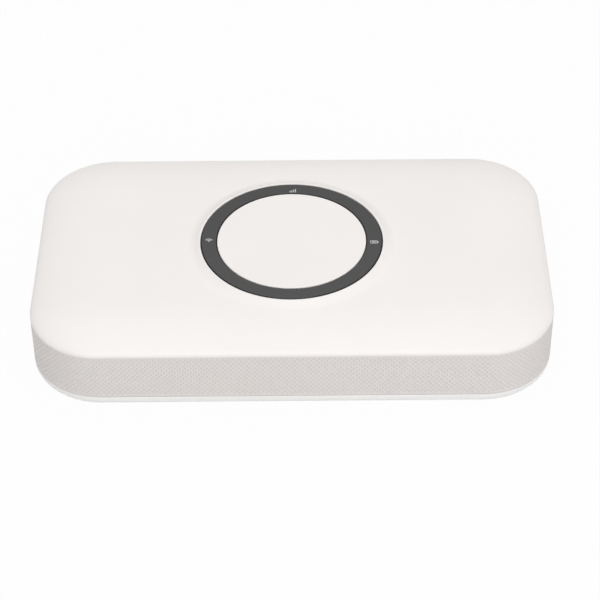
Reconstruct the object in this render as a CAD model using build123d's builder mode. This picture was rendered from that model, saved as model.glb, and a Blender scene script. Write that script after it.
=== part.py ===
"""Pocket wireless router: a palm-sized white case with a dark light ring in its crowned roof.

The case is a crowned top cover, a middle housing with the battery bay, and a clip-on back cover.
All sizes are in millimetres. +Z is up, +X runs along the length, and -Y faces the user.
The origin is at the middle of the flat underside.
"""

import os
from math import cos, radians, sin

from build123d import *

# Case
case_length = 100.0
case_width = 60.0
case_height = 15.6
corner_radius = 13.7
wall = 1.4
edge_height = 12.05
crown_width = 12.4
lip_rise = 0.3
lip_flat = 0.4
lip_width = 2.1
lip_dip = 0.1
lip_foot = 0.5

# Recessed band round the side, which carries the dimpled texture
band_border = 0.35
band_recess = 0.25
cover_rim = 0.25
skirt_wall = 0.9
skirt_rise = 1.0

# Back cover
cover_edge = 1.45
cover_side = 1.95
cover_slope = 1.6
cover_tuck = 1.0
cover_bend = 1.0
cover_foot = 0.4
parting_gap = 0.12
fit_gap = 0.15
cover_lip = 1.0
cover_lip_rise = 1.4
clip_width = 6.0
clip_rise = 2.0
clip_bead = 0.35
clip_bead_height = 0.9
clip_spacing_x = 44.0
nail_width = 9.0
nail_depth = 0.9
nail_height = 0.6
nail_place = -30.0

# Light ring and centre cap
ring_outer_r = 17.8
ring_width = 3.15
ring_drop = 0.02
ring_bevel = 0.2
ring_gap = 0.08
ring_flange = 1.5
ring_flange_height = 0.7
glue_gap = 0.1
cap_gap = 0.07
cap_plate = 1.1
cap_rim = 1.1
cap_round = 0.15

# Battery
battery_length = 66.0
battery_width = 46.0
battery_thickness = 5.1
battery_gap = 0.25
battery_round = 1.2
end_cap_length = 3.0
pad_width = 2.0
pad_height = 2.6
pad_depth = 0.15
pad_pitch = 3.2
pad_count = 3

# Middle housing
frame_wall = 1.0
bay_gap = 0.3
under_board_room = 1.55

# Screws
screw_inset = 8.5
screw_r = 0.75
screw_clearance = 0.1
screw_head_r = 1.4
screw_head_height = 1.0
screw_bite = 3.0
driver_width = 0.5
driver_depth = 0.4
pilot_gap = 0.05
boss_r = 2.1

# Board
board_thickness = 1.0
board_gap = 0.5

# Micro USB socket in the left end
usb_width = 7.5
usb_height = 2.6
usb_depth = 5.4
usb_sheet = 0.3
usb_bevel = 1.0
usb_gap = 0.25
usb_mouth_drop = 0.6
usb_tongue_width = 4.0
usb_tongue_height = 0.7
usb_back = 1.2

# Power button in the right end, and its switch
button_length = 11.0
button_height = 3.0
button_gap = 0.12
button_round = 0.25
button_flange = 0.6
button_flange_depth = 0.7
button_travel = 0.4
button_seat_gap = 0.1
switch_length = 2.0
switch_width = 4.6
switch_height = 1.4
plunger_width = 1.8
plunger_height = 0.8
plunger_reach = 0.95
plunger_hold = 0.5
plunger_gap = 0.06

# Reset switch, pressed with a pin from the battery side
reset_y = -12.5
reset_body = 3.2
reset_body_height = 0.9
reset_r = 0.7
reset_hole_r = 1.0
reset_travel = 0.25
reset_hold = 0.3
reset_pin_drop = 0.25

# Shield cans and chips
can_sheet = 0.2
can_height = 1.7
chip_height = 0.9
modem_can_length = 19.0
modem_can_width = 14.0
radio_can_length = 15.0
radio_can_width = 24.0
chip_gap = 1.0

# Battery connector
connector_length = 5.0
connector_width = 10.6
connector_gap = 0.3
spring_width = 1.2
spring_sheet = 0.2
spring_gap = 0.05

# Card socket under the board
card_x = -10.0
card_length = 15.0
card_width = 14.0
card_height = 1.3
card_sheet = 0.2
card_base = 0.4
card_contact = 0.12
card_window_margin = 1.5

# Sheet antennas on the housing
antenna_sheet = 0.2
antenna_margin = 2.15
antenna_width = 9.0
antenna_y = 12.8
antenna_slot = 0.8

# Indicator lights under the ring
light_length = 4.2
light_width = 2.0
light_gap = 0.08
led_length = 1.6
led_width = 0.8
led_height = 0.6
pipe_share = 13 / 19
light_angles = (0.0, 90.0, 180.0)

# Heights and places that follow from the sizes above
roof_height = case_height - lip_rise
inner_roof = roof_height - wall
shell_foot = cover_side + parting_gap
seam_height = edge_height - cover_rim
half_length = case_length / 2
half_width = case_width / 2
screw_x = half_length - screw_inset
screw_y = half_width - screw_inset

cover_lip_inset = wall + fit_gap
cover_lip_top = cover_side + cover_lip_rise
clip_top = cover_lip_top + clip_rise
clip_bead_low = clip_top - clip_bead_height

battery_low = cover_edge + battery_gap
battery_high = battery_low + battery_thickness
plate_low = battery_high + battery_gap
plate_high = plate_low + frame_wall
board_low = plate_high + under_board_room
board_high = board_low + board_thickness
board_inset = wall + board_gap
bay_length = battery_length + 2 * bay_gap
bay_width = battery_width + 2 * bay_gap
bay_end = bay_length / 2 + frame_wall
end_room = half_length - wall - bay_end
antenna_x = bay_end + end_room / 2
antenna_length = end_room - 2 * antenna_margin
reset_x = bay_end + end_room / 2

window_r = ring_outer_r + ring_gap
ring_inner_r = ring_outer_r - ring_width
ring_top = case_height - ring_drop
flange_top = inner_roof - glue_gap
flange_low = flange_top - ring_flange_height
flange_outer_r = ring_outer_r + ring_flange
flange_inner_r = ring_inner_r - ring_flange
cap_r = ring_inner_r - cap_gap
light_r = (ring_inner_r + ring_outer_r) / 2
radio_can_x = (flange_outer_r + half_length - board_inset) / 2

usb_z = board_low - usb_height / 2
usb_face_x = -half_length + usb_mouth_drop
flange_height = button_height + 2 * button_flange
button_z = board_low - button_seat_gap - flange_height / 2
button_back_x = half_length - wall - button_seat_gap - button_flange_depth
plunger_z = board_low - switch_height / 2
switch_face_x = button_back_x - plunger_reach + plunger_hold
plate_notch = half_length - wall - switch_face_x + switch_length + bay_gap
connector_x = bay_length / 2 + connector_gap

os.makedirs("parts", exist_ok=True)


def save(piece, label):
    """Labels a finished piece and writes it to its own STEP file."""
    piece.label = label
    export_step(piece, f"parts/{label}.step")


def outline(inset):
    """A sketch of the case outline, drawn in by the inset."""
    return RectangleRounded(
        case_length - 2 * inset, case_width - 2 * inset, corner_radius - inset
    )


def clip_places(reach):
    """Places for the clips on the two long sides, at a reach from the centre line."""
    return [
        (i * clip_spacing_x / 2, side * reach) for side in (-1, 1) for i in (-1, 0, 1)
    ]


def crowned_block(inset, foot, flats=0):
    """A block with the case outline, drawn in by the inset, and a crown round a flat roof.

    The crown's section, a quarter ellipse on a straight side, is swept round the outline.
    Inside the case the ellipse may be as many flats. A flat-topped core fills the middle.
    """
    roof = roof_height - inset
    edge = edge_height - 0.7 * inset
    a = half_length - inset
    b = half_width - inset
    r = corner_radius - inset
    crown = crown_width - inset
    with BuildPart() as block:
        with BuildLine(Plane.XY.offset(foot)) as path:
            Line((0, -b), (a - r, -b))
            CenterArc((a - r, -b + r), r, -90, 90)
            Line((a, -b + r), (a, b - r))
            CenterArc((a - r, b - r), r, 0, 90)
            Line((a - r, b), (-a + r, b))
            CenterArc((-a + r, b - r), r, 90, 90)
            Line((-a, b - r), (-a, -b + r))
            CenterArc((-a + r, -b + r), r, 180, 90)
            Line((-a + r, -b), (0, -b))
        with BuildSketch(Plane.YZ):
            with BuildLine():
                Polyline((-b + crown, roof), (-b + crown, foot), (-b, foot), (-b, edge))
                if flats:
                    turns = [radians(90 * i / flats) for i in range(flats + 1)]
                    Polyline(*[(-b + crown - crown * cos(t), edge + (roof - edge) * sin(t)) for t in turns])
                else:
                    EllipticalCenterArc((-b + crown, edge), crown, roof - edge, start_angle=90, arc_size=90)
            make_face()
        sweep(path=path.line)
        with BuildSketch(Plane.XY.offset(foot)):
            RectangleRounded(2 * (a - crown), 2 * (b - crown), corner_radius - crown_width)
        extrude(amount=roof - foot)
    return block.part


# Top cover: a crowned moulding with screw bosses and a skirt that locates it in the housing
cover_block = crowned_block(0, seam_height)
cover_middle = crowned_block(wall / 2, shell_foot, 4)
cover_cavity = crowned_block(wall, shell_foot, 4)

with BuildPart() as cover_fixings:
    with BuildSketch(Plane.XY.offset(board_high)):
        with GridLocations(2 * screw_x, 2 * screw_y, 2, 2):
            Circle(boss_r)
    extrude(amount=roof_height - board_high)
    with BuildSketch(Plane.XY.offset(board_high + fit_gap)):
        add(outline(wall + fit_gap))
        add(outline(wall + fit_gap + skirt_wall), mode=Mode.SUBTRACT)
    extrude(amount=seam_height + skirt_rise - board_high - fit_gap)
    add(cover_middle, mode=Mode.INTERSECT)

with BuildPart() as top_cover:
    add(cover_block)
    add(cover_cavity, mode=Mode.SUBTRACT)
    add(cover_fixings.part)
    with BuildSketch(Plane.XY.offset(board_high)):
        with GridLocations(2 * screw_x, 2 * screw_y, 2, 2):
            Circle(screw_r + pilot_gap)
    extrude(amount=screw_bite, mode=Mode.SUBTRACT)
    # The lip is a low bank of revolution that dies away into the crown
    with BuildSketch(Plane.XZ):
        with BuildLine():
            lip_out = window_r + lip_flat
            Polyline(
                (lip_out + lip_width, roof_height - lip_dip),
                (lip_out + lip_width, roof_height - lip_foot),
                (window_r - ring_gap, roof_height - lip_foot),
                (window_r - ring_gap, case_height),
                (lip_out, case_height),
            )
            RadiusArc(
                (lip_out, case_height),
                (lip_out + lip_width, roof_height - lip_dip),
                -2.5 * lip_width,
            )
        make_face()
    revolve(axis=Axis.Z)
    with BuildSketch(Plane.XY.offset(inner_roof)):
        Circle(window_r)
    extrude(amount=case_height, mode=Mode.SUBTRACT)
    # A flat seat under the roof for the lens flange
    with BuildSketch(Plane.XY.offset(flange_low)):
        Circle(flange_outer_r + ring_gap)
    extrude(amount=inner_roof - flange_low, mode=Mode.SUBTRACT)
save(top_cover.part, "top_cover")

# Light ring: a smoked window with bevelled edges, a glue flange outside and a seat for the cap inside
with BuildPart() as ring_lens:
    with BuildSketch(Plane.XZ):
        with BuildLine():
            Polyline(
                (flange_inner_r, flange_low),
                (flange_outer_r, flange_low),
                (flange_outer_r, flange_top),
                (ring_outer_r, flange_top),
                (ring_outer_r, ring_top - ring_bevel),
                (ring_outer_r - ring_bevel, ring_top),
                (ring_inner_r + ring_bevel, ring_top),
                (ring_inner_r, ring_top - ring_bevel),
                (ring_inner_r, flange_top),
                (flange_inner_r, flange_top),
                close=True,
            )
        make_face()
    revolve(axis=Axis.Z)
save(ring_lens.part, "ring_lens")

# Glue ring between the lens flange and the roof
with BuildPart() as lens_glue:
    with BuildSketch(Plane.XY.offset(flange_top)):
        Circle(flange_outer_r)
        Circle(window_r, mode=Mode.SUBTRACT)
    extrude(amount=glue_gap)
save(lens_glue.part, "lens_glue")

# Centre cap: a plain disc on a rim that stands on the lens
with BuildPart() as centre_cap:
    with BuildSketch(Plane.XY.offset(flange_top)):
        Circle(cap_r)
    extrude(amount=case_height - flange_top)
    with BuildSketch(Plane.XY.offset(flange_top)):
        Circle(cap_r - cap_rim)
    extrude(amount=case_height - cap_plate - flange_top, mode=Mode.SUBTRACT)
    fillet(centre_cap.faces().sort_by(Axis.Z)[-1].edges(), cap_round)
save(centre_cap.part, "centre_cap")

# Light baffle: a black ring with a cell over each indicator
light_places = [
    Location((light_r * cos(radians(t)), light_r * sin(radians(t)), 0), (0, 0, t + 90)) for t in light_angles
]
with BuildPart() as light_baffle:
    with BuildSketch(Plane.XY.offset(board_high)):
        Circle(flange_outer_r)
        Circle(flange_inner_r, mode=Mode.SUBTRACT)
        with Locations(*light_places):
            Rectangle(light_length, light_width, mode=Mode.SUBTRACT)
    extrude(amount=flange_low - board_high)
save(light_baffle.part, "light_baffle")

# Milky light pipes, glued under the lens, that fill a share of the room over each light
with BuildPart() as light_pipes:
    with BuildSketch(Plane.XY.offset(flange_low)):
        with Locations(*light_places):
            Rectangle(light_length - 2 * light_gap, light_width - 2 * light_gap)
    extrude(amount=-pipe_share * (flange_low - board_high - led_height))
save(light_pipes.part, "light_pipes")

with BuildPart() as indicator_leds:
    with BuildSketch(Plane.XY.offset(board_high)):
        with Locations(*light_places):
            Rectangle(led_length, led_width)
    extrude(amount=led_height)
save(indicator_leds.part, "indicator_leds")

# Main board, clamped between the cover's bosses and the housing's posts
with BuildPart() as main_board:
    with BuildSketch(Plane.XY.offset(board_low)):
        add(outline(board_inset))
        with GridLocations(2 * screw_x, 2 * screw_y, 2, 2):
            Circle(screw_r + screw_clearance, mode=Mode.SUBTRACT)
    extrude(amount=board_thickness)
save(main_board.part, "main_board")


def shield_can(x, can_length, can_width):
    """A pressed steel can, open below, that stands on the upper face of the board."""
    with BuildPart() as can:
        with BuildSketch(Plane.XY.offset(board_high)):
            with Locations((x, 0)):
                RectangleRounded(can_length, can_width, 2 * can_sheet)
        extrude(amount=can_height)
        with BuildSketch(Plane.XY.offset(board_high)):
            with Locations((x, 0)):
                RectangleRounded(can_length - 2 * can_sheet, can_width - 2 * can_sheet, can_sheet)
        extrude(amount=can_height - can_sheet, mode=Mode.SUBTRACT)
    return can.part


def chip_pair(x, can_length, can_width):
    """Two chips side by side inside a shield can, standing on the board."""
    room = can_length - 2 * can_sheet - 3 * chip_gap
    with BuildPart() as chips:
        with BuildSketch(Plane.XY.offset(board_high)):
            with Locations((x - (can_length - 2 * can_sheet) / 2 + chip_gap + 0.3 * room, 0)):
                Rectangle(0.6 * room, min(0.6 * room, can_width - 2 * can_sheet - 2 * chip_gap))
            with Locations((x + (can_length - 2 * can_sheet) / 2 - chip_gap - 0.2 * room, 0)):
                Rectangle(0.4 * room, min(0.5 * room, can_width - 2 * can_sheet - 2 * chip_gap))
        extrude(amount=chip_height)
    return chips.part


modem_shield = shield_can(0, modem_can_length, modem_can_width)
save(modem_shield, "modem_shield")
modem_chips = chip_pair(0, modem_can_length, modem_can_width)
save(modem_chips, "modem_chips")
radio_shield = shield_can(radio_can_x, radio_can_length, radio_can_width)
save(radio_shield, "radio_shield")
radio_chips = chip_pair(radio_can_x, radio_can_length, radio_can_width)
save(radio_chips, "radio_chips")


def usb_section(inset):
    """The corners of the socket's section: a flat top, short sides and bevelled lower corners."""
    w = usb_width / 2 - inset
    top = usb_height / 2 - inset
    bevel = usb_bevel - 0.6 * inset
    return [(-w, top), (w, top), (w, bevel - top), (w - bevel, -top), (bevel - w, -top), (-w, bevel - top)]


# USB socket: a folded steel shell under the board with a plastic tongue in it
with BuildPart() as usb_shell:
    with BuildSketch(Plane.YZ.offset(usb_face_x)):
        with Locations((0, usb_z)):
            Polygon(*usb_section(0), align=None)
    extrude(amount=usb_depth)
    with BuildSketch(Plane.YZ.offset(usb_face_x)):
        with Locations((0, usb_z)):
            Polygon(*usb_section(usb_sheet), align=None)
    extrude(amount=usb_depth - usb_sheet, mode=Mode.SUBTRACT)
save(usb_shell.part, "usb_shell")

with BuildPart() as usb_tongue:
    with BuildSketch(Plane.YZ.offset(usb_face_x + usb_depth - usb_sheet)):
        with Locations((0, usb_z)):
            Polygon(*usb_section(usb_sheet), align=None)
    extrude(amount=-usb_back)
    with BuildSketch(Plane.YZ.offset(usb_face_x + usb_depth - usb_sheet - usb_back)):
        with Locations((0, usb_z + usb_tongue_height / 4)):
            Rectangle(usb_tongue_width, usb_tongue_height)
    extrude(amount=-(usb_depth - usb_sheet - usb_back - usb_mouth_drop))
save(usb_tongue.part, "usb_tongue")

# Power button: a pill-shaped key with a flange behind the wall
with BuildPart() as power_button:
    with BuildSketch(Plane.YZ.offset(button_back_x)):
        with Locations((0, button_z)):
            SlotOverall(button_length + 2 * button_flange, flange_height)
    extrude(amount=button_flange_depth)
    with BuildSketch(Plane.YZ.offset(button_back_x)):
        with Locations((0, button_z)):
            SlotOverall(button_length, button_height)
    extrude(amount=half_length - button_back_x)
    fillet(power_button.faces().sort_by(Axis.X)[-1].edges(), button_round)
save(power_button.part, "power_button")

# Switch under the board behind the button, with its plunger
with BuildPart() as power_switch:
    with BuildSketch(Plane.XY.offset(board_low)):
        with Locations((switch_face_x - switch_length / 2, 0)):
            Rectangle(switch_length, switch_width)
    extrude(amount=-switch_height)
    with BuildSketch(Plane.YZ.offset(switch_face_x)):
        with Locations((0, plunger_z)):
            Rectangle(plunger_width + 2 * plunger_gap, plunger_height + 2 * plunger_gap)
    extrude(amount=-(plunger_hold + button_travel + plunger_gap), mode=Mode.SUBTRACT)
save(power_switch.part, "power_switch")

with BuildPart() as power_plunger:
    with BuildSketch(Plane.YZ.offset(button_back_x)):
        with Locations((0, plunger_z)):
            Rectangle(plunger_width, plunger_height)
    extrude(amount=-plunger_reach)
save(power_plunger.part, "power_plunger")

# Reset switch under the board and the pin that stands in the housing's hole
reset_low = board_low - reset_body_height
with BuildPart() as reset_switch:
    with BuildSketch(Plane.XY.offset(board_low)):
        with Locations((reset_x, reset_y)):
            Rectangle(reset_body, reset_body)
    extrude(amount=-reset_body_height)
    with BuildSketch(Plane.XY.offset(reset_low)):
        with Locations((reset_x, reset_y)):
            Circle(reset_r + plunger_gap)
    extrude(amount=reset_hold + reset_travel + plunger_gap, mode=Mode.SUBTRACT)
save(reset_switch.part, "reset_switch")

with BuildPart() as reset_pin:
    with BuildSketch(Plane.XY.offset(plate_low + reset_pin_drop)):
        with Locations((reset_x, reset_y)):
            Circle(reset_r)
    extrude(amount=reset_low + reset_hold - plate_low - reset_pin_drop)
save(reset_pin.part, "reset_pin")

# Middle housing: the side wall and a plate, with the battery bay below and board posts above
with BuildPart() as mid_housing:
    with BuildSketch(Plane.XY.offset(shell_foot)):
        add(outline(0))
        add(outline(wall), mode=Mode.SUBTRACT)
    extrude(amount=seam_height - shell_foot)
    with BuildSketch(Plane.XY.offset(plate_low)):
        add(outline(wall / 2))
    extrude(amount=frame_wall)
    with BuildSketch(Plane.XY.offset(battery_low)):
        Rectangle(bay_length + 2 * frame_wall, bay_width + 2 * frame_wall)
        Rectangle(bay_length, bay_width, mode=Mode.SUBTRACT)
    extrude(amount=plate_low - battery_low)
    with BuildSketch(Plane.XY.offset(plate_high)):
        with GridLocations(2 * screw_x, 2 * screw_y, 2, 2):
            Circle(boss_r)
    extrude(amount=board_low - plate_high)
    with BuildSketch(Plane.XY.offset(plate_low)):
        with GridLocations(2 * screw_x, 2 * screw_y, 2, 2):
            Circle(screw_r + screw_clearance)
        with Locations((reset_x, reset_y)):
            Circle(reset_hole_r)
    extrude(amount=board_low - plate_low, mode=Mode.SUBTRACT)
    # The band that carries the texture lies a little below its plain borders
    with BuildSketch(Plane.XY.offset(shell_foot + band_border)):
        add(outline(-wall))
        add(outline(band_recess), mode=Mode.SUBTRACT)
    extrude(amount=seam_height - shell_foot - 2 * band_border, mode=Mode.SUBTRACT)
    # Port in the left end and button slot in the right end
    with BuildSketch(Plane.YZ.offset(-half_length)):
        with Locations((0, usb_z)):
            RectangleRounded(usb_width + 2 * usb_gap, usb_height + 2 * usb_gap, usb_bevel / 2)
    extrude(amount=wall, mode=Mode.SUBTRACT)
    with BuildSketch(Plane.YZ.offset(half_length)):
        with Locations((0, button_z)):
            SlotOverall(button_length + 2 * button_gap, button_height + 2 * button_gap)
    extrude(amount=-wall, mode=Mode.SUBTRACT)
    # Openings in the plate for the socket, the switch, the connector and the card
    with BuildSketch(Plane.XY.offset(plate_low)):
        with Locations((-half_length + wall + usb_depth / 2, 0)):
            Rectangle(usb_depth, usb_width + 2 * usb_gap)
        with Locations((half_length - wall - plate_notch / 2, 0)):
            Rectangle(plate_notch, button_length + 4 * button_flange)
        with Locations((bay_length / 2 + (connector_length + 2 * connector_gap) / 2, 0)):
            Rectangle(connector_length + 2 * connector_gap, connector_width + 2 * connector_gap)
        with Locations((card_x, 0)):
            Rectangle(card_length + 4 * card_window_margin, card_width + 2 * card_window_margin)
    extrude(amount=frame_wall, mode=Mode.SUBTRACT)
    with BuildSketch(Plane.XY.offset(battery_low)):
        with Locations((bay_length / 2 + frame_wall / 2, 0)):
            Rectangle(2 * frame_wall, connector_width + 2 * connector_gap)
    extrude(amount=plate_low - battery_low, mode=Mode.SUBTRACT)
    # Channels that the beads of the cover's clips pass along
    with BuildSketch(Plane.XY.offset(shell_foot)):
        with Locations(*clip_places(half_width - wall)):
            Rectangle(clip_width + 2 * fit_gap, 2 * (clip_bead + fit_gap))
    extrude(amount=clip_top + fit_gap - shell_foot, mode=Mode.SUBTRACT)
save(mid_housing.part, "mid_housing")

# Four pan-head screws through housing and board into the cover's bosses
with BuildPart() as frame_screws:
    with BuildSketch(Plane.XY.offset(plate_low)):
        with GridLocations(2 * screw_x, 2 * screw_y, 2, 2):
            Circle(screw_r)
    extrude(amount=board_high + screw_bite - 2 * screw_clearance - plate_low)
    with BuildSketch(Plane.XY.offset(plate_low)):
        with GridLocations(2 * screw_x, 2 * screw_y, 2, 2):
            Circle(screw_head_r)
    extrude(amount=-screw_head_height)
    with BuildSketch(Plane.XY.offset(plate_low - screw_head_height)):
        with GridLocations(2 * screw_x, 2 * screw_y, 2, 2):
            Rectangle(1.4 * screw_head_r, driver_width)
            Rectangle(driver_width, 1.4 * screw_head_r)
    extrude(amount=driver_depth, mode=Mode.SUBTRACT)
save(frame_screws.part, "frame_screws")

# Battery: a wrapped cell with a plastic end cap that carries the pads
with BuildPart() as battery_pack:
    with BuildSketch(Plane.XY.offset(battery_low)):
        with Locations((-end_cap_length / 2, 0)):
            Rectangle(battery_length - end_cap_length, battery_width)
    extrude(amount=battery_thickness)
    fillet(battery_pack.edges().filter_by(Axis.X), battery_round)
save(battery_pack.part, "battery_pack")

pad_places = [(0, (i - (pad_count - 1) / 2) * pad_pitch) for i in range(pad_count)]
battery_mid = battery_low + battery_thickness / 2
with BuildPart() as battery_end:
    with BuildSketch(Plane.XY.offset(battery_low)):
        with Locations((battery_length / 2 - end_cap_length / 2, 0)):
            Rectangle(end_cap_length, battery_width)
    extrude(amount=battery_thickness)
    fillet(battery_end.edges().filter_by(Axis.X), battery_round)
    with BuildSketch(Plane.YZ.offset(battery_length / 2)):
        with Locations(*[(y, battery_mid) for _, y in pad_places]):
            Rectangle(pad_width, pad_height)
    extrude(amount=-pad_depth, mode=Mode.SUBTRACT)
save(battery_end.part, "battery_end")

with BuildPart() as battery_pads:
    with BuildSketch(Plane.YZ.offset(battery_length / 2)):
        with Locations(*[(y, battery_mid) for _, y in pad_places]):
            Rectangle(pad_width, pad_height)
    extrude(amount=-pad_depth)
save(battery_pads.part, "battery_pads")

# Connector block under the board, with a sprung blade to each pad
with BuildPart() as battery_connector:
    with BuildSketch(Plane.XY.offset(battery_low + pad_depth)):
        with Locations((connector_x + connector_length / 2, 0)):
            Rectangle(connector_length, connector_width)
    extrude(amount=board_low - battery_low - pad_depth)
save(battery_connector.part, "battery_connector")

spring_tip = battery_length / 2 + spring_gap
with BuildPart() as battery_springs:
    for _, y in pad_places:
        with BuildSketch(Plane.XZ.offset(-y - spring_width / 2)):
            with BuildLine():
                ThreePointArc(
                    (connector_x, battery_mid - pad_height / 2),
                    (spring_tip, battery_mid),
                    (connector_x, battery_mid + pad_height / 2),
                )
                ThreePointArc(
                    (connector_x, battery_mid - pad_height / 2 + spring_sheet),
                    (spring_tip + spring_sheet, battery_mid),
                    (connector_x, battery_mid + pad_height / 2 - spring_sheet),
                )
                Line(
                    (connector_x, battery_mid - pad_height / 2),
                    (connector_x, battery_mid - pad_height / 2 + spring_sheet),
                )
                Line(
                    (connector_x, battery_mid + pad_height / 2),
                    (connector_x, battery_mid + pad_height / 2 - spring_sheet),
                )
            make_face()
        extrude(amount=spring_width)
save(battery_springs.part, "battery_springs")

# Card socket: a plastic base with contacts under a folded steel cover
with BuildPart() as card_base_plate:
    with BuildSketch(Plane.XY.offset(board_low)):
        with Locations((card_x, 0)):
            Rectangle(card_length, card_width - 2 * card_sheet)
    extrude(amount=-card_base)
save(card_base_plate.part, "card_base")

with BuildPart() as card_contacts:
    with BuildSketch(Plane.XY.offset(board_low - card_base)):
        with Locations((card_x, 0)):
            with GridLocations(card_length / 2, card_width / 4, 2, 3):
                Rectangle(card_length / 6, card_width / 9)
    extrude(amount=-card_contact)
save(card_contacts.part, "card_contacts")

with BuildPart() as card_cover:
    with BuildSketch(Plane.XY.offset(board_low)):
        with Locations((card_x, 0)):
            Rectangle(card_length, card_width)
    extrude(amount=-card_height)
    with BuildSketch(Plane.XY.offset(board_low)):
        with Locations((card_x, 0)):
            Rectangle(card_length, card_width - 2 * card_sheet)
    extrude(amount=-(card_height - card_sheet), mode=Mode.SUBTRACT)
save(card_cover.part, "card_cover")


def sheet_antenna(x, y, slots):
    """A flat metal antenna with open slots, stuck to the lower face of the housing's plate."""
    pitch = antenna_width / (slots + 1)
    with BuildPart() as antenna:
        with BuildSketch(Plane.XY.offset(plate_low)):
            with Locations((x, y)):
                Rectangle(antenna_length, antenna_width)
            for i in range(slots):
                side = 1 if i % 2 else -1
                with Locations((x + side * antenna_slot, y - antenna_width / 2 + (i + 1) * pitch)):
                    Rectangle(antenna_length, antenna_slot, mode=Mode.SUBTRACT)
        extrude(amount=-antenna_sheet)
    return antenna.part


main_antenna = sheet_antenna(-antenna_x, antenna_y, 3)
save(main_antenna, "main_antenna")
second_antenna = sheet_antenna(antenna_x, antenna_y, 3)
save(second_antenna, "second_antenna")
local_antenna = sheet_antenna(-antenna_x, -antenna_y, 2)
save(local_antenna, "local_antenna")

# Back cover: a shallow tray whose side tucks in below, with a locating lip and clips
with BuildPart() as back_cover:
    with BuildSketch():
        add(outline(0))
    extrude(amount=cover_side)
    under = back_cover.faces().sort_by(Axis.Z)[0]
    chamfer(under.edges(), cover_tuck, cover_slope, reference=under)
    fillet(back_cover.edges().group_by(Axis.Z)[2], cover_bend)
    fillet(back_cover.edges().group_by(Axis.Z)[0], cover_foot)
    with BuildSketch(Plane.XY.offset(cover_side)):
        add(outline(cover_lip_inset))
    extrude(amount=cover_lip_rise)
    with BuildSketch(Plane.XY.offset(cover_edge)):
        add(outline(cover_lip_inset + cover_lip))
    extrude(amount=cover_lip_top - cover_edge, mode=Mode.SUBTRACT)
    with BuildSketch(Plane.XY.offset(cover_edge)):
        with Locations(*clip_places(half_width - cover_lip_inset - cover_lip / 2)):
            Rectangle(clip_width, cover_lip)
    extrude(amount=clip_top - cover_edge)
    with BuildSketch(Plane.XY.offset(clip_bead_low)):
        with Locations(*clip_places(half_width - cover_lip_inset)):
            Rectangle(clip_width, 2 * clip_bead)
    extrude(amount=clip_bead_height)
    # Nail notch in the upper edge at the back
    with BuildSketch(Plane.XZ.offset(-half_width)):
        with Locations((nail_place, cover_side)):
            SlotOverall(nail_width, 2 * nail_height)
    extrude(amount=nail_depth, mode=Mode.SUBTRACT)
save(back_cover.part, "back_cover")
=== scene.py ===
import bpy
import numpy as np
from mathutils import Matrix


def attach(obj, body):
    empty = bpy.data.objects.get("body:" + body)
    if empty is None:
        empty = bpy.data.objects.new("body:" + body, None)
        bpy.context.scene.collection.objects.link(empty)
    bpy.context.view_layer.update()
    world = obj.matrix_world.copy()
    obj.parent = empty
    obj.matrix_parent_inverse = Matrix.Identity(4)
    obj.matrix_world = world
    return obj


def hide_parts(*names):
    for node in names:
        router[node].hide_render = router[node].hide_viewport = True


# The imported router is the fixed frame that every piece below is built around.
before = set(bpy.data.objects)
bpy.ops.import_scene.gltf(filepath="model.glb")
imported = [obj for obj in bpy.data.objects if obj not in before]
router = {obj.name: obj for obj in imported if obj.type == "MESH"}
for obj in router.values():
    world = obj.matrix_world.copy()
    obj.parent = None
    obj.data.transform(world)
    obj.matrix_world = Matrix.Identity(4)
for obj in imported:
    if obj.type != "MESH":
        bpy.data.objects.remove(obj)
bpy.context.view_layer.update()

# Top cover: one white moulded lid with a crown that rolls down to a plain rim all round.
# A round window in its roof takes the light ring, and a low bank of plastic rises to the window's edge.
# It is moulded in satin ABS and drawn down on the housing by four screws. Its sizes are in millimetres.
MM = 0.001
half_length = 50.0
half_width = 30.0
corner_r = 13.7
wall = 1.4
seam = 11.8
seam_soft = 0.06
edge = 12.05
roof = 14.9
ceiling = 13.9
crown_width = 12.4
rim_share = 0.7
window_r = 17.88
lip_rise = 0.7
lip_flat = 0.35
lip_run = 2.2
lip_round = 0.14
columns_round = 720
WHITE = (0.885, 0.848, 0.823)
flat_x = half_length - corner_r
flat_y = half_width - corner_r
arc = corner_r * np.pi / 2
inner_edge = edge - rim_share * wall
crown_in = crown_width / 2
bank_r = window_r + lip_flat + lip_run


def outline(shares):
    """Points on the case outline and its outward normals, at the given shares of its length.

    Straight runs and quarter arcs follow each other from the middle of the front, towards +X.
    On a run the point is start + tangent * distance, on an arc it is centre + radius * normal.
    """
    runs = np.array([flat_x, arc, 2 * flat_y, arc, 2 * flat_x, arc, 2 * flat_y, arc, flat_x])
    starts = np.concatenate(([0.0], np.cumsum(runs)))
    base_x = np.array([0, flat_x, half_length, flat_x, flat_x, -flat_x, -half_length, -flat_x, -flat_x])
    base_y = np.array(
        [-half_width, -flat_y, -flat_y, flat_y, half_width, flat_y, flat_y, -flat_y, -half_width]
    )
    turn = np.array([-1, -1, 0, 0, 1, 1, 2, 2, 3]) * np.pi / 2
    curved = np.array([0, 1, 0, 1, 0, 1, 0, 1, 0], bool)
    along = np.mod(shares, 1.0) * starts[-1]
    run = np.clip(np.searchsorted(starts, along, side="right") - 1, 0, len(runs) - 1)
    rest = along - starts[run]
    angle = turn[run] + np.where(curved[run], rest / corner_r, 0.0)
    normal = np.stack([np.cos(angle), np.sin(angle)], -1)
    tangent = np.stack([-np.sin(angle), np.cos(angle)], -1)
    base = np.stack([base_x[run], base_y[run]], -1)
    reach = np.where(curved[run], corner_r, 0.0)[:, None] * normal
    slide = np.where(curved[run], 0.0, rest)[:, None] * tangent
    return base + reach + slide, normal


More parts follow.
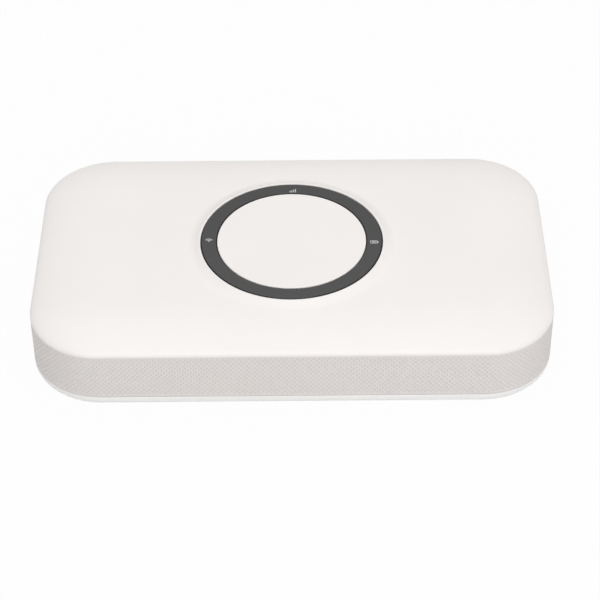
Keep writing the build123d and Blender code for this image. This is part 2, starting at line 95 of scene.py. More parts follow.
def inset_of(x, y):
    """How far a point lies inside the case outline: the corner radius less its distance to the core."""
    past_x = np.abs(x) - flat_x
    past_y = np.abs(y) - flat_y
    outside = np.hypot(np.maximum(past_x, 0), np.maximum(past_y, 0))
    return corner_r - outside - np.minimum(np.maximum(past_x, past_y), 0)


def roof_at(x, y):
    """Height of the roof: a quarter ellipse over the crown's width, plus a bank that falls away
    from the window's flat lip with the square of what is left of its run."""
    share = np.clip(1 - inset_of(x, y) / crown_width, 0, 1)
    left = np.clip(1 - (np.hypot(x, y) - window_r - lip_flat) / lip_run, 0, 1)
    return edge + (roof - edge) * np.sqrt(1 - share**2) + lip_rise * left**2


def ceiling_at(x, y):
    """Height of the inner face: the same quarter ellipse, drawn in by the wall."""
    share = np.clip(1 - (inset_of(x, y) - wall) / (crown_width - wall), 0, 1)
    return inner_edge + (ceiling - inner_edge) * np.sqrt(1 - share**2)


def grid_faces(rows, columns, close_rows, close_columns):
    """Quads between neighbouring rows and columns of a grid, joined at the ends where it closes."""
    row = np.arange(rows if close_rows else rows - 1)[:, None]
    column = np.arange(columns if close_columns else columns - 1)[None, :]
    here = row * columns
    above = (row + 1) % rows * columns
    beside = (column + 1) % columns
    quads = np.stack([here + column, here + beside, above + beside, above + column], -1)
    return quads.reshape(-1, 4)


def make_piece(name, points, faces, finish, body, crease=38):
    """A mesh from points in millimetres and faces, smooth but for edges that turn by more than
    the crease in degrees, which rides on a body and takes the given finish."""
    mesh = bpy.data.meshes.new(name)
    mesh.from_pydata((points.reshape(-1, 3) * MM).tolist(), [], [list(face) for face in faces])
    mesh.shade_smooth()
    mesh.set_sharp_from_angle(angle=np.radians(crease))
    mesh.materials.append(finish)
    piece = bpy.data.objects.new(name, mesh)
    bpy.context.scene.collection.objects.link(piece)
    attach(piece, body)
    return piece


def new_finish(name):
    """A plain node material, with its tree and its shader."""
    finish = bpy.data.materials.new(name)
    finish.use_nodes = True
    tree = finish.node_tree
    return finish, tree, tree.nodes["Principled BSDF"]


def add_node(tree, kind, inputs=None, **settings):
    """Adds a node to a tree, and gives it first its settings and then the fixed values of its sockets."""
    node = tree.nodes.new("ShaderNode" + kind)
    for setting, value in settings.items():
        setattr(node, setting, value)
    for socket, value in (inputs or {}).items():
        node.inputs[socket].default_value = value
    return node


def toned(colour, share):
    """An opaque colour, with each of its parts times a share and at most 1."""
    return (*[min(1.0, part * share) for part in colour], 1)


def moulded(name, colour, roughness, grain, depth, drift=0.03):
    """Moulded plastic: soft clouds shift the colour by the drift and the gloss a little, and a fine grain
    from the mould's spark-eroded face, sized in millimetres, is a bump of the given depth."""
    finish, tree, shader = new_finish(name)
    place = add_node(tree, "TexCoord")
    cloud = add_node(tree, "TexNoise", {"Scale": 45.0, "Detail": 3.0})
    tones = {"A": toned(colour, 1 - drift), "B": toned(colour, 1 + drift)}
    tint = add_node(tree, "Mix", tones, data_type="RGBA")
    gloss = add_node(tree, "MapRange", {"To Min": roughness - 0.04, "To Max": roughness + 0.04})
    fine = add_node(tree, "TexNoise", {"Scale": 1 / (grain * MM), "Detail": 2.0})
    bump = add_node(tree, "Bump", {"Strength": 0.35, "Distance": depth * MM})
    link = tree.links.new
    link(place.outputs["Object"], cloud.inputs["Vector"])
    link(place.outputs["Object"], fine.inputs["Vector"])
    link(cloud.outputs["Fac"], tint.inputs["Factor"])
    link(cloud.outputs["Fac"], gloss.inputs["Value"])
    link(fine.outputs["Fac"], bump.inputs["Height"])
    link(tint.outputs["Result"], shader.inputs["Base Color"])
    link(gloss.outputs["Result"], shader.inputs["Roughness"])
    link(bump.outputs["Normal"], shader.inputs["Normal"])
    shader.inputs["IOR"].default_value = 1.48
    return finish


edge_xy, edge_normal = outline(np.arange(columns_round) / columns_round)
crown_line = edge_xy - crown_in * edge_normal
bearing = np.arctan2(crown_line[:, 1], crown_line[:, 0])
spokes = np.stack([np.cos(bearing), np.sin(bearing)], -1)


def level(inset, height):
    """One row of points: the outline drawn in by the inset, at one height."""
    return np.column_stack([edge_xy - inset * edge_normal, np.full(columns_round, height)])


def circle(radius, height):
    """One row of points on a circle round the middle, at one height or at a height for each point."""
    return np.column_stack([radius * spokes, np.broadcast_to(height, columns_round)])


def spread(shares, radius, height_at):
    """Rows between the line halfway over the crown and a circle, by shares of the way in, with heights
    from a function of x and y."""
    xy = crown_line[None] + shares[:, None, None] * (radius * spokes - crown_line)[None]
    return np.concatenate([xy, height_at(xy[..., 0], xy[..., 1])[..., None]], -1)


# Up the rim, over the crown to half its width, which is a turn of sixty degrees on its ellipse,
# then across the roof and up the bank to the window's rounded lip.
cover_rows = [
    level(seam_soft, seam),
    level(seam_soft / 3, seam + seam_soft / 3),
    level(0.0, seam + seam_soft),
    level(0.0, edge),
]
for turn in np.radians(np.linspace(2, 60, 30)):
    cover_rows.append(level(crown_width * (1 - np.cos(turn)), edge + (roof - edge) * np.sin(turn)))
cover_rows.extend(spread(np.linspace(0.08, 1, 16), bank_r, roof_at))
for radius in np.linspace(bank_r, window_r + lip_round, 18)[1:]:
    cover_rows.append(circle(radius, roof_at(*(radius * spokes).T)))
lip_top = cover_rows[-1][:, 2]
for turn in np.radians([25, 50, 75, 90]):
    fall = lip_round * (1 - np.cos(turn))
    cover_rows.append(circle(window_r + lip_round * (1 - np.sin(turn)), lip_top - fall))

# Down through the window, back under the roof and down inside the rim to the seam.
cover_rows.append(circle(window_r, ceiling))
cover_rows.extend(spread(np.linspace(0.95, 0.05, 12), window_r, ceiling_at))
for turn in np.radians(np.linspace(50, 0, 14)[:-1]):
    inset = wall + (crown_width - wall) * (1 - np.cos(turn))
    cover_rows.append(level(inset, inner_edge + (ceiling - inner_edge) * np.sin(turn)))
cover_rows.append(level(wall, seam))
cover_points = np.stack(cover_rows)
cover_faces = grid_faces(len(cover_rows), columns_round, True, True)
satin_white = moulded("satin_white", WHITE, roughness=0.42, grain=0.12, depth=0.004)
cover = make_piece("crowned_cover", cover_points, cover_faces, satin_white, "housing")
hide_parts("top_cover")

# Light ring: a smoked, glossy window that lies flush with the lip round it and the cap inside it.
# It is clear acrylic over a grey print, with bevelled edges that carry near-black painted shade where the
# ring meets the lip and the cap.
# Its flange is glued under the roof.
ring_outer = 17.8
ring_inner = 14.65
ring_bevel = 0.2
bevel_blur = 0.01
RING_GREY = (0.042, 0.042, 0.041)
# Painted shade: near black, on the bevels at the ring's outer and inner edges.
EDGE_PAINTED_SHADE = (0.004, 0.004, 0.004)


def dress(finish, *nodes):
    """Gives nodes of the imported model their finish."""
    for node in nodes:
        router[node].data.materials.clear()
        router[node].data.materials.append(finish)


def bevelled_acrylic(name):
    """Smoked acrylic with near-black painted shade where the distance from the ring's axis is within a
    bevel of
    its outer or inner edge: the larger of two steps in that distance mixes the two colours."""
    finish = moulded(name, RING_GREY, roughness=0.2, grain=0.4, depth=0.001, drift=0.06)
    tree = finish.node_tree
    shader = tree.nodes["Principled BSDF"]
    outer_shade = ring_outer - ring_bevel
    inner_shade = ring_inner + ring_bevel
    place = add_node(tree, "TexCoord")
    flat_mm = add_node(tree, "VectorMath", {1: (1 / MM, 1 / MM, 0)}, operation="MULTIPLY")
    radius = add_node(tree, "VectorMath", operation="LENGTH")
    outer = add_node(tree, "MapRange", {"From Min": outer_shade - bevel_blur, "From Max": outer_shade})
    inner = add_node(tree, "MapRange", {"From Min": inner_shade + bevel_blur, "From Max": inner_shade})
    either = add_node(tree, "Math", operation="MAXIMUM")
    paint_edge_shade = add_node(tree, "Mix", {"B": toned(EDGE_PAINTED_SHADE, 1)}, data_type="RGBA")
    grey = shader.inputs["Base Color"].links[0].from_socket
    link = tree.links.new
    link(place.outputs["Object"], flat_mm.inputs[0])
    link(flat_mm.outputs["Vector"], radius.inputs[0])
    link(radius.outputs["Value"], outer.inputs["Value"])
    link(radius.outputs["Value"], inner.inputs["Value"])
    link(outer.outputs["Result"], either.inputs[0])
    link(inner.outputs["Result"], either.inputs[1])
    link(either.outputs[0], paint_edge_shade.inputs["Factor"])
    link(grey, paint_edge_shade.inputs["A"])
    link(paint_edge_shade.outputs["Result"], shader.inputs["Base Color"])
    shader.inputs["Specular IOR Level"].default_value = 0.3
    return finish


dress(bevelled_acrylic("smoked_acrylic"), "ring_lens")
dress(moulded("clear_glue", (0.5, 0.5, 0.48), roughness=0.5, grain=0.3, depth=0.004), "lens_glue")

# Icons: three pale marks printed on the ring, for signal, wireless and battery.
# Each is a thin film of light grey ink on the upper face of the window.
ring_top = 15.58
ink_lift = 0.001
ink_height = 0.02
icon_r = 16.2
bar_shift = 0.25
bar_step = 0.36
bar_width = 0.2
bar_heights = (0.48, 0.68, 0.86, 1.08)
fan_y = -0.31
fan_radii = (0.29, 0.54, 0.79)
fan_line = 0.13
spot_r = 0.07
spot_line = 0.12
battery_y = -0.92
battery_left = -0.74
battery_right = 0.5
battery_half = 0.4
battery_line = 0.14
charge_left = -0.48
charge_right = 0.24
charge_width = 0.36
nub_x = 0.68
nub_half = 0.24
nub_width = 0.2
INK = (0.5, 0.5, 0.5)


def ribbon(left, right, closed):
    """A thin slab between two lines of points, with its upper face, lower face, sides and ends."""
    count = len(left)
    low = np.full((count, 1), ring_top + ink_lift)
    high = low + ink_height
    corners = ((left, high), (right, high), (right, low), (left, low))
    points = np.stack([np.hstack(pair) for pair in corners], 1)
    quads = grid_faces(count, 4, closed, True)
    if not closed:
        last = 4 * (count - 1)
        quads = np.vstack([quads, [[3, 2, 1, 0]], [[last, last + 1, last + 2, last + 3]]])
    return points.reshape(-1, 3), quads


def stroke(points, width, closed=False):
    """A ribbon of even width along a line: each point moves half the width to both sides."""
    points = np.asarray(points, float)
    if closed:
        ahead = np.roll(points, -1, 0) - np.roll(points, 1, 0)
    else:
        ahead = np.gradient(points, axis=0)
    ahead /= np.linalg.norm(ahead, axis=1)[:, None]
    side = np.stack([-ahead[:, 1], ahead[:, 0]], -1) * width / 2
    return ribbon(points + side, points - side, closed)


def arc_line(middle, radius, angles):
    """Points on an arc: the middle plus the radius times the cosine and the sine."""
    return np.array(middle) + radius * np.stack([np.cos(angles), np.sin(angles)], -1)


def print_icon(name, strokes):
    """One icon from several ribbons, whose faces are numbered on from one to the next."""
    firsts = np.cumsum([0] + [len(points) for points, _ in strokes])
    points = np.vstack([points for points, _ in strokes])
    faces = np.vstack([quads + first for (_, quads), first in zip(strokes, firsts)])
    make_piece(name, points, faces, pale_ink, "housing")


pale_ink = moulded("pale_ink", INK, roughness=0.5, grain=0.2, depth=0.002, drift=0.05)
bar_low = icon_r - bar_heights[-1]
bar_x = bar_shift + bar_step * (np.arange(len(bar_heights)) - (len(bar_heights) - 1) / 2)
bars = [stroke([(x, bar_low), (x, bar_low + tall)], bar_width) for x, tall in zip(bar_x, bar_heights)]
print_icon("icon_signal", bars)

fan_angles = np.radians(np.linspace(28, 152, 15))
spot_angles = np.radians(np.linspace(0, 360, 16, endpoint=False))
fan = [stroke(arc_line((-icon_r, fan_y), radius, fan_angles), fan_line) for radius in fan_radii]
spot = stroke(arc_line((-icon_r, fan_y), spot_r, spot_angles), spot_line, True)
print_icon("icon_wireless", [*fan, spot])

left, right = icon_r + battery_left, icon_r + battery_right
low, high = battery_y - battery_half, battery_y + battery_half
corners = np.array([(left, low), (right, low), (right, high), (left, high)])
sides = zip(corners, np.roll(corners, -1, 0))
battery_case = np.vstack([np.linspace(start, stop, 6, endpoint=False) for start, stop in sides])
charge = [(icon_r + charge_left, battery_y), (icon_r + charge_right, battery_y)]
nub = [(icon_r + nub_x, battery_y - nub_half), (icon_r + nub_x, battery_y + nub_half)]
battery_strokes = [
    stroke(battery_case, battery_line, True),
    stroke(nub, nub_width),
    stroke(charge, charge_width),
]
print_icon("icon_battery", battery_strokes)

# Centre cap: a plain white disc that stands on the window's inner flange.
# It is moulded in the same satin plastic as the cover, with a softened edge.
dress(satin_white, "centre_cap")

# Side band: the housing's wall, moulded in a greyish white plastic with close rows of small dimples.
# A plain line is left under the cover's rim, along the lower edge and round the port and the button.
# The two long stretches go round the corners, and the two short ones are the end walls.
band_low = 2.42
band_high = 11.45
band_depth = 0.2
cell_height = 1.07
cells_round = 296
cells_high = 8
steps_per_cell = 8
dimple_depth = 0.15
port_z = 8.3
port_half = (4.0, 1.55)
port_round = 0.5
button_z = 7.4
button_half = (5.62, 1.62)
opening_gap = 0.02
opening_plain = 0.3
opening_fade = 0.9
skin_thickness = 0.04
# Painted shade: the colour is made a little lighter on the wall and darker at the bottom of each dimple, by
# the two shares below.
band_crease = 65
wall_painted_light = 1.02
hollow_painted_shade = 0.835
BAND_WHITE = (0.733, 0.694, 0.674)


def ease(value, start, stop):
    """A smooth step from 0 to 1 between two values."""
    share = np.clip((value - start) / (stop - start), 0, 1)
    return share * share * (3 - 2 * share)


def dimpled_plastic(name):
    """The band's plastic, with painted shade from the piece's own attribute, which runs from 0 on the wall
    to 1 at the bottom of a dimple: a little lighter on the wall and darker down in each dimple."""
    finish = moulded(name, BAND_WHITE, roughness=0.5, grain=0.12, depth=0.004)
    tree = finish.node_tree
    shader = tree.nodes["Principled BSDF"]
    hollow = add_node(tree, "Attribute", attribute_name="hollow")
    shade_level = add_node(tree, "MapRange", {"To Min": wall_painted_light, "To Max": hollow_painted_shade})
    shade = add_node(tree, "Mix", {"Factor": 1.0}, data_type="RGBA", blend_type="MULTIPLY")
    plain = shader.inputs["Base Color"].links[0].from_socket
    link = tree.links.new
    link(hollow.outputs["Fac"], shade_level.inputs["Value"])
    link(plain, shade.inputs["A"])
    link(shade_level.outputs["Result"], shade.inputs["B"])
    link(shade.outputs["Result"], shader.inputs["Base Color"])
    return finish


def band_grid(first, last):
    """The band between two steps of the pattern, as x, y and z grids, with the wall's normals and
    the share of a dimple's depth at each point.

    Dimples lie at the corners and the middles of nearly square cells. Each is the eighth power of
    a cosine along the band times the square of one up it, so it stands taller than it is wide, and
    all fade out at the plain borders.
    """
    steps = np.arange(first, last + 1)
    xy, normal = outline(steps / (cells_round * steps_per_cell))
    pattern_low = (band_low + band_high - cells_high * cell_height) / 2
    rows_up = pattern_low + cell_height * np.arange(cells_high * steps_per_cell + 1) / steps_per_cell
    heights = np.concatenate([[band_low], rows_up, [band_high]])[:, None]
    along = steps[None, :] / steps_per_cell
    up = (heights - pattern_low) / cell_height
    hollow = np.cos(np.pi * along) ** 8 * np.cos(np.pi * up) ** 2
    hollow = hollow + np.sin(np.pi * along) ** 8 * np.sin(np.pi * up) ** 2
    margin = (pattern_low - band_low) / cell_height
    hollow = hollow * ease(up, -margin, 0.0) * ease(cells_high - up, -margin, 0.0)
    x, y, z = np.broadcast_arrays(xy[None, :, 0], xy[None, :, 1], heights)
    return x, y, z, normal, hollow


def band_piece(name, points, faces, hollow):
    """One stretch of the band, with the share of a dimple's depth as its attribute."""
    piece = make_piece(name, points, faces, band_white, "housing", band_crease)
    attribute = piece.data.attributes.new("hollow", "FLOAT", "POINT")
    attribute.data.foreach_set("value", hollow.astype(np.float32))
    return piece


def sink(x, y, z, normal, depth):
    """A list of points, moved in from the wall along its normals by a depth."""
    return np.stack([x - depth * normal[:, 0], y - depth * normal[:, 1], z], -1).reshape(-1, 3)


def long_stretch(name, first, last):
    """A stretch with no opening: two more rows, at the recess's depth, close its back, and a face
    closes each end."""
    x, y, z, normal, hollow = band_grid(first, last)
    rows, columns = hollow.shape
    depth = np.vstack([dimple_depth * hollow, np.full((2, columns), band_depth)])
    hollow = np.vstack([hollow, np.zeros((2, columns))])
    x = np.vstack([x, x[:2]])
    y = np.vstack([y, y[:2]])
    z = np.vstack([z, z[-1:], z[:1]])
    end = np.arange(rows + 2) * columns
    faces = grid_faces(rows + 2, columns, True, False).tolist()
    faces += [end.tolist(), (end[::-1] + columns - 1).tolist()]
    band_piece(name, sink(x, y, z, normal, depth), faces, hollow.ravel())


def opening_distance(y, z, middle, half, radius):
    """Distance from a rounded opening in an end wall: the distance to its core less its radius."""
    past_y = np.abs(y) - (half[0] - radius)
    past_z = np.abs(z - middle) - (half[1] - radius)
    outside = np.hypot(np.maximum(past_y, 0), np.maximum(past_z, 0))
    return outside + np.minimum(np.maximum(past_y, past_z), 0) - radius


def end_stretch(name, first, last, middle, half, radius):
    """A stretch with an opening: the faces inside it go, the points left on its border slide down
    the slope of the distance to its edge, and a thin skin gives the rest its thickness."""
    x, y, z, normal, hollow = band_grid(first, last)
    away = opening_distance(y, z, middle, half, radius)
    slope_z, slope_y = np.gradient(away, z[:, 0], y[0])
    faces = grid_faces(*away.shape, False, False)
    outside = away.ravel()[faces].mean(1) > 0
    border = np.intersect1d(faces[outside], faces[~outside])
    slope = np.stack([slope_y, slope_z], -1).reshape(-1, 2)[border]
    slope /= np.linalg.norm(slope, axis=1)[:, None]
    shift = -(away.ravel()[border] - opening_gap)[:, None] * slope
    y, z = y.copy(), z.copy()
    y.ravel()[border] += shift[:, 0]
    z.ravel()[border] += shift[:, 1]
    hollow = hollow * ease(away, opening_plain, opening_fade)
    points = sink(x, y, z, normal, dimple_depth * hollow)
    used, order = np.unique(faces[outside], return_inverse=True)
    piece = band_piece(name, points[used], order.reshape(-1, 4), hollow.ravel()[used])
    skin = piece.modifiers.new("skin", "SOLIDIFY")
    skin.thickness = skin_thickness * MM
    skin.offset = -1.0


dress(moulded("band_plain", BAND_WHITE, roughness=0.5, grain=0.12, depth=0.004), "mid_housing")
band_white = dimpled_plastic("band_white")
steps_round = cells_round * steps_per_cell
outline_length = 4 * flat_x + 4 * flat_y + 4 * arc
front_end = int(round((flat_x + arc) / outline_length * steps_round))
back_start = front_end + int(round(2 * flat_y / outline_length * steps_round))
back_end = steps_round - back_start
long_stretch("band_front", -front_end, front_end)
end_stretch("band_right", front_end, back_start, button_z, button_half, button_half[1])
long_stretch("band_back", back_start, back_end)
end_stretch("band_left", back_end, steps_round - front_end, port_z, port_half, port_round)

# Back cover: a white lid with a rolled lower edge that clips up into the housing.
# It is moulded in the same plastic as the top cover, with a nail notch in the back to prise it off. Its
# white is set lighter than the top cover's as painted light, for the light thrown up from the white floor
# onto its rolled edge.
# The router lies on its flat face.
roll_base = 0.001
roll_height = 1.9
roll_tuck = 0.75
corner_tuck = 0.2
root_height = 1.0
root_width = 1.6
notch_x = -30.0
notch_half = 5.0
notch_fade = 1.5
notch_low = 1.3
notch_sink = 1.2
root_inset = root_width + notch_sink
# Painted light: this white is lighter than the top cover's, for the light thrown up from the white floor.
COVER_WHITE_PAINTED_LIGHT = (0.925, 0.912, 0.9)


def rolled_row(turn):
    """One row of the rolled edge, at a turn from the upright: a quarter ellipse that tucks in a little
    more where the outline's normal is diagonal, and that sinks into the cover where the notch is."""
    tuck = roll_tuck + corner_tuck * (2 * edge_normal[:, 0] * edge_normal[:, 1]) ** 2
    inside = notch_half + notch_fade - np.abs(edge_xy[:, 0] - notch_x)
    notch = ease(inside, 0.0, notch_fade) * (edge_xy[:, 1] > 0)
    height = roll_base + roll_height * (1 - np.sin(turn))
    inset = tuck * (1 - np.cos(turn)) + notch_sink * notch * (height > notch_low)
    return np.column_stack([edge_xy - inset[:, None] * edge_normal, np.full(columns_round, height)])


cover_white = moulded("cover_white", COVER_WHITE_PAINTED_LIGHT, roughness=0.42, grain=0.12, depth=0.004)
dress(cover_white, "back_cover")
roll_rows = [rolled_row(turn) for turn in np.radians(np.linspace(0, 90, 13))]
roll_rows += [level(root_inset, roll_base), level(root_inset, root_height)]
roll_faces = grid_faces(len(roll_rows), columns_round, True, True)[:, ::-1]
make_piece("rolled_edge", np.stack(roll_rows), roll_faces, cover_white, "back_cover")

# Keys: a slim white power button in the right end, and a grey reset pin under the back cover.
# The button is moulded like the cover, with a softened edge, and each key presses a small black switch.
button_white = moulded("button_white", (0.87, 0.855, 0.835), roughness=0.38, grain=0.12, depth=0.003)
dress(button_white, "power_button")
dress(moulded("plunger_grey", (0.42, 0.42, 0.42), roughness=0.5, grain=0.2, depth=0.004), "power_plunger")
switch_black = moulded("switch_black", (0.05, 0.05, 0.052), roughness=0.5, grain=0.2, depth=0.004)
dress(switch_black, "power_switch", "reset_switch")
dress(moulded("pin_grey", (0.5, 0.5, 0.5), roughness=0.45, grain=0.2, depth=0.003), "reset_pin")

# Charging port: a folded steel socket under the board with a black tongue in its mouth.
# The steel is tin plated and faintly brushed along the socket.


def plated_sheet(name, colour, roughness, lines):
    """Plated metal: noise with its own number of lines in a metre along each axis, so that it can be
    drawn out into brush marks, sets the colour, the gloss and a shallow bump."""
    finish, tree, shader = new_finish(name)
    place = add_node(tree, "TexCoord")
    stretch = add_node(tree, "Mapping", {"Scale": lines})
    brush = add_node(tree, "TexNoise", {"Scale": 1.0, "Detail": 4.0})
    tint = add_node(tree, "Mix", {"A": toned(colour, 0.88), "B": toned(colour, 1)}, data_type="RGBA")
    gloss = add_node(tree, "MapRange", {"To Min": roughness - 0.08, "To Max": roughness + 0.1})
    bump = add_node(tree, "Bump", {"Strength": 0.2, "Distance": 0.005 * MM})
    link = tree.links.new
    link(place.outputs["Object"], stretch.inputs["Vector"])
    link(stretch.outputs["Vector"], brush.inputs["Vector"])
    link(brush.outputs["Fac"], tint.inputs["Factor"])
    link(brush.outputs["Fac"], gloss.inputs["Value"])
    link(brush.outputs["Fac"], bump.inputs["Height"])
    link(tint.outputs["Result"], shader.inputs["Base Color"])
    link(gloss.outputs["Result"], shader.inputs["Roughness"])
    link(bump.outputs["Normal"], shader.inputs["Normal"])
    shader.inputs["Metallic"].default_value = 1.0
    return finish


socket_steel = plated_sheet("socket_steel", (0.62, 0.62, 0.61), roughness=0.32, lines=(300, 9000, 9000))
dress(socket_steel, "usb_shell")
dress(moulded("tongue_black", (0.03, 0.03, 0.03), roughness=0.45, grain=0.2, depth=0.003), "usb_tongue")

# Main board: green glass laminate with faint copper tracks under its lacquer.
# Plated steel cans shield the black chips that stand on it.


def lacquered_board(name):
    """Board lacquer: the thin joints of a brick pattern show as lighter copper tracks, with a low bump."""
    finish, tree, shader = new_finish(name)
    laminate = {"Color1": (0.018, 0.12, 0.05, 1), "Color2": (0.022, 0.14, 0.06, 1)}
    joints = {"Mortar": (0.06, 0.26, 0.11, 1), "Mortar Size": 0.035, "Scale": 220.0}
    place = add_node(tree, "TexCoord")
    tracks = add_node(tree, "TexBrick", {**laminate, **joints})
    bump = add_node(tree, "Bump", {"Strength": 0.3, "Distance": 0.02 * MM})
    link = tree.links.new
    link(place.outputs["Object"], tracks.inputs["Vector"])
    link(tracks.outputs["Color"], shader.inputs["Base Color"])
    link(tracks.outputs["Fac"], bump.inputs["Height"])
    link(bump.outputs["Normal"], shader.inputs["Normal"])
    shader.inputs["Roughness"].default_value = 0.3
    return finish


dress(lacquered_board("board_green"), "main_board")
can_steel = plated_sheet("can_steel", (0.66, 0.66, 0.65), roughness=0.36, lines=(400, 6000, 6000))
dress(can_steel, "modem_shield", "radio_shield")
chip_black = moulded("chip_black", (0.035, 0.035, 0.038), roughness=0.55, grain=0.2, depth=0.004)
dress(chip_black, "modem_chips", "radio_chips")

# Ring lights: three small lights on the board, each in its own cell of a black baffle.
# Milky plastic pipes above them, glued under the ring, carry the light up to the icons.
dress(moulded("baffle_black", (0.025, 0.025, 0.025), roughness=0.6, grain=0.3, depth=0.005), "light_baffle")
dress(moulded("pipe_milky", (0.82, 0.83, 0.82), roughness=0.3, grain=0.3, depth=0.002), "light_pipes")
dress(moulded("led_pale", (0.85, 0.78, 0.42), roughness=0.25, grain=0.3, depth=0.002), "indicator_leds")

# Battery contacts and card socket: black moulded blocks with gold-plated blades.
# The card socket is closed by a cover of the same plated steel as the shield cans.
connector_black = moulded("connector_black", (0.04, 0.04, 0.045), roughness=0.5, grain=0.2, depth=0.004)
dress(connector_black, "battery_connector", "card_base")
contact_gold = plated_sheet("contact_gold", (0.78, 0.58, 0.24), roughness=0.28, lines=(2000, 2000, 2000))
dress(contact_gold, "battery_springs", "card_contacts")
dress(can_steel, "card_cover")

# Screws and antennas: four steel screws hold the housing and the top cover together from below.
# The antennas are thin slotted copper sheets on the housing's end decks.
screw_steel = plated_sheet("screw_steel", (0.5, 0.5, 0.51), roughness=0.4, lines=(3000, 3000, 3000))
dress(screw_steel, "frame_screws")
antenna_copper = plated_sheet("antenna_copper", (0.72, 0.46, 0.28), roughness=0.35, lines=(800, 5000, 5000))
dress(antenna_copper, "main_antenna", "second_antenna", "local_antenna")

# Battery: a flat cell in a dark film wrap with a black moulded end.
# It lifts out of the bay once the back cover is off, and its pads are gold plated.
cell_wrap = moulded("cell_wrap", (0.13, 0.13, 0.14), roughness=0.4, grain=0.6, depth=0.01, drift=0.06)
dress(cell_wrap, "battery_pack")
dress(moulded("cell_end_black", (0.04, 0.04, 0.04), roughness=0.5, grain=0.2, depth=0.004), "battery_end")
dress(contact_gold, "battery_pads")

# Studio: a white floor, square soft boxes in front, to the front right, on the left and behind,
# and a sky that is brightest overhead. Places and sizes are in metres.
# The floor is white to the camera and keeps only a trace of the router's shadow.
floor_reach = 2.0
floor_drop = 1e-5
floor_whiteness = 0.96
sky_low = 0.07
sky_high = 0.96
box_size = 0.6
box_aim = (0.0, 0.0, 0.008)
FLOOR_GREY = (0.72, 0.72, 0.72)
SKY_WHITE = (0.98, 0.99, 1.0)


def white_to_camera(tree, shade, white_kind, outlet, share):
    """Mixes a shader with plain white for camera, glossy and transmission rays, by a share, and
    links the mix to the outlet."""
    rays = add_node(tree, "LightPath")
    white = add_node(tree, white_kind, {"Color": (1, 1, 1, 1), "Strength": 1.0})
    either = add_node(tree, "Math", operation="MAXIMUM")
    any_ray = add_node(tree, "Math", operation="MAXIMUM")
    part = add_node(tree, "Math", {1: share}, operation="MULTIPLY")
    mix = add_node(tree, "MixShader")
    link = tree.links.new
    link(rays.outputs["Is Camera Ray"], either.inputs[0])
    link(rays.outputs["Is Glossy Ray"], either.inputs[1])
    link(either.outputs[0], any_ray.inputs[0])
    link(rays.outputs["Is Transmission Ray"], any_ray.inputs[1])
    link(any_ray.outputs[0], part.inputs[0])
    link(part.outputs[0], mix.inputs[0])
    link(shade.outputs[0], mix.inputs[1])
    link(white.outputs[0], mix.inputs[2])
    link(mix.outputs[0], tree.nodes[outlet].inputs["Surface"])


def facing(side, top, back, place):
    """A matrix that turns the X, Y and Z axes to the side, the top and the back, and moves to a place."""
    turned = np.eye(4)
    turned[:3] = np.stack([side, top, back, place], 1)
    return Matrix(turned.tolist())


def soft_box(name, place, watts):
    """A square soft box at a place, turned to face the router: its back runs from the aim to the place."""
    back = np.array(place) - np.array(box_aim)
    back = back / np.linalg.norm(back)
    side = np.cross((0.0, 0.0, 1.0), back)
    side = side / np.linalg.norm(side)
    lamp = bpy.data.lights.new(name, "AREA")
    lamp.size = box_size
    lamp.energy = watts
    box = bpy.data.objects.new(name, lamp)
    box.matrix_world = facing(side, np.cross(back, side), back, place)
    bpy.context.scene.collection.objects.link(box)


floor_signs = [(-1, -1), (1, -1), (1, 1), (-1, 1)]
floor_mesh = bpy.data.meshes.new("floor")
floor_mesh.from_pydata(
    [(x * floor_reach, y * floor_reach, -floor_drop) for x, y in floor_signs], [], [(0, 1, 2, 3)]
)
floor = bpy.data.objects.new("floor", floor_mesh)
bpy.context.scene.collection.objects.link(floor)
floor_white, floor_tree, floor_shade = new_finish("floor_white")
floor_shade.inputs["Base Color"].default_value = toned(FLOOR_GREY, 1)
floor_shade.inputs["Roughness"].default_value = 0.9
white_to_camera(floor_tree, floor_shade, "Emission", "Material Output", floor_whiteness)
floor_mesh.materials.append(floor_white)

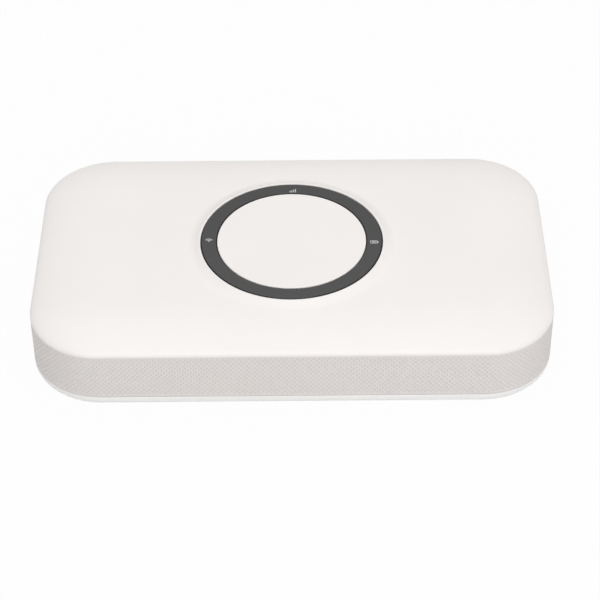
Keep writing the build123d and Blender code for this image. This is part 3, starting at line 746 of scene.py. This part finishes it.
sky = bpy.data.worlds.new("sky")
sky.use_nodes = True
sky_tree = sky.node_tree
sky_shade = sky_tree.nodes["Background"]
sky_shade.inputs["Color"].default_value = toned(SKY_WHITE, 1)
sky_place = add_node(sky_tree, "TexCoord")
sky_height = add_node(sky_tree, "SeparateXYZ")
sky_level = add_node(sky_tree, "MapRange", {"To Min": sky_low, "To Max": sky_high})
sky_tree.links.new(sky_place.outputs["Generated"], sky_height.inputs[0])
sky_tree.links.new(sky_height.outputs["Z"], sky_level.inputs["Value"])
sky_tree.links.new(sky_level.outputs["Result"], sky_shade.inputs["Strength"])
white_to_camera(sky_tree, sky_shade, "Background", "World Output", 1.0)
bpy.context.scene.world = sky

soft_box("front_box", place=(0.0, -0.655, 0.467), watts=2.22)
soft_box("front_right_box", place=(0.489, -0.583, 0.255), watts=0.94)
soft_box("left_box", place=(-0.4, 0.0, 0.7), watts=0.2)
soft_box("back_box", place=(0.0, 0.4, 0.7), watts=0.84)

# Camera: a long lens at the photograph's angle, a little over forty degrees above the table.
# The view is turned by about half a degree, as the photograph is.
# Places and distances are in metres, and the lens and its sensor in millimetres.
elevation = np.radians(40.76)
azimuth = np.radians(0.18)
roll = np.radians(0.59)
aim_height = 0.00635
aim_right = 0.00152
aim_down = 0.00483
distance = 0.4115
sensor_width = 36.0
focal_length = 124.2
out = np.cos(elevation)
toward = np.array([np.sin(azimuth) * out, -np.cos(azimuth) * out, np.sin(elevation)])
right = np.array([np.cos(azimuth), np.sin(azimuth), 0.0])
above = np.cross(toward, right)
aim = np.array([0, 0, aim_height]) + aim_right * right - aim_down * above
side = np.cos(roll) * right - np.sin(roll) * above
top = np.sin(roll) * right + np.cos(roll) * above
lens = bpy.data.cameras.new("camera")
lens.sensor_width = sensor_width
lens.lens = focal_length
camera = bpy.data.objects.new("camera", lens)
camera.matrix_world = facing(side, top, toward, aim + distance * toward)
bpy.context.scene.collection.objects.link(camera)
bpy.context.scene.camera = camera
bpy.context.scene.view_settings.view_transform = "Standard"
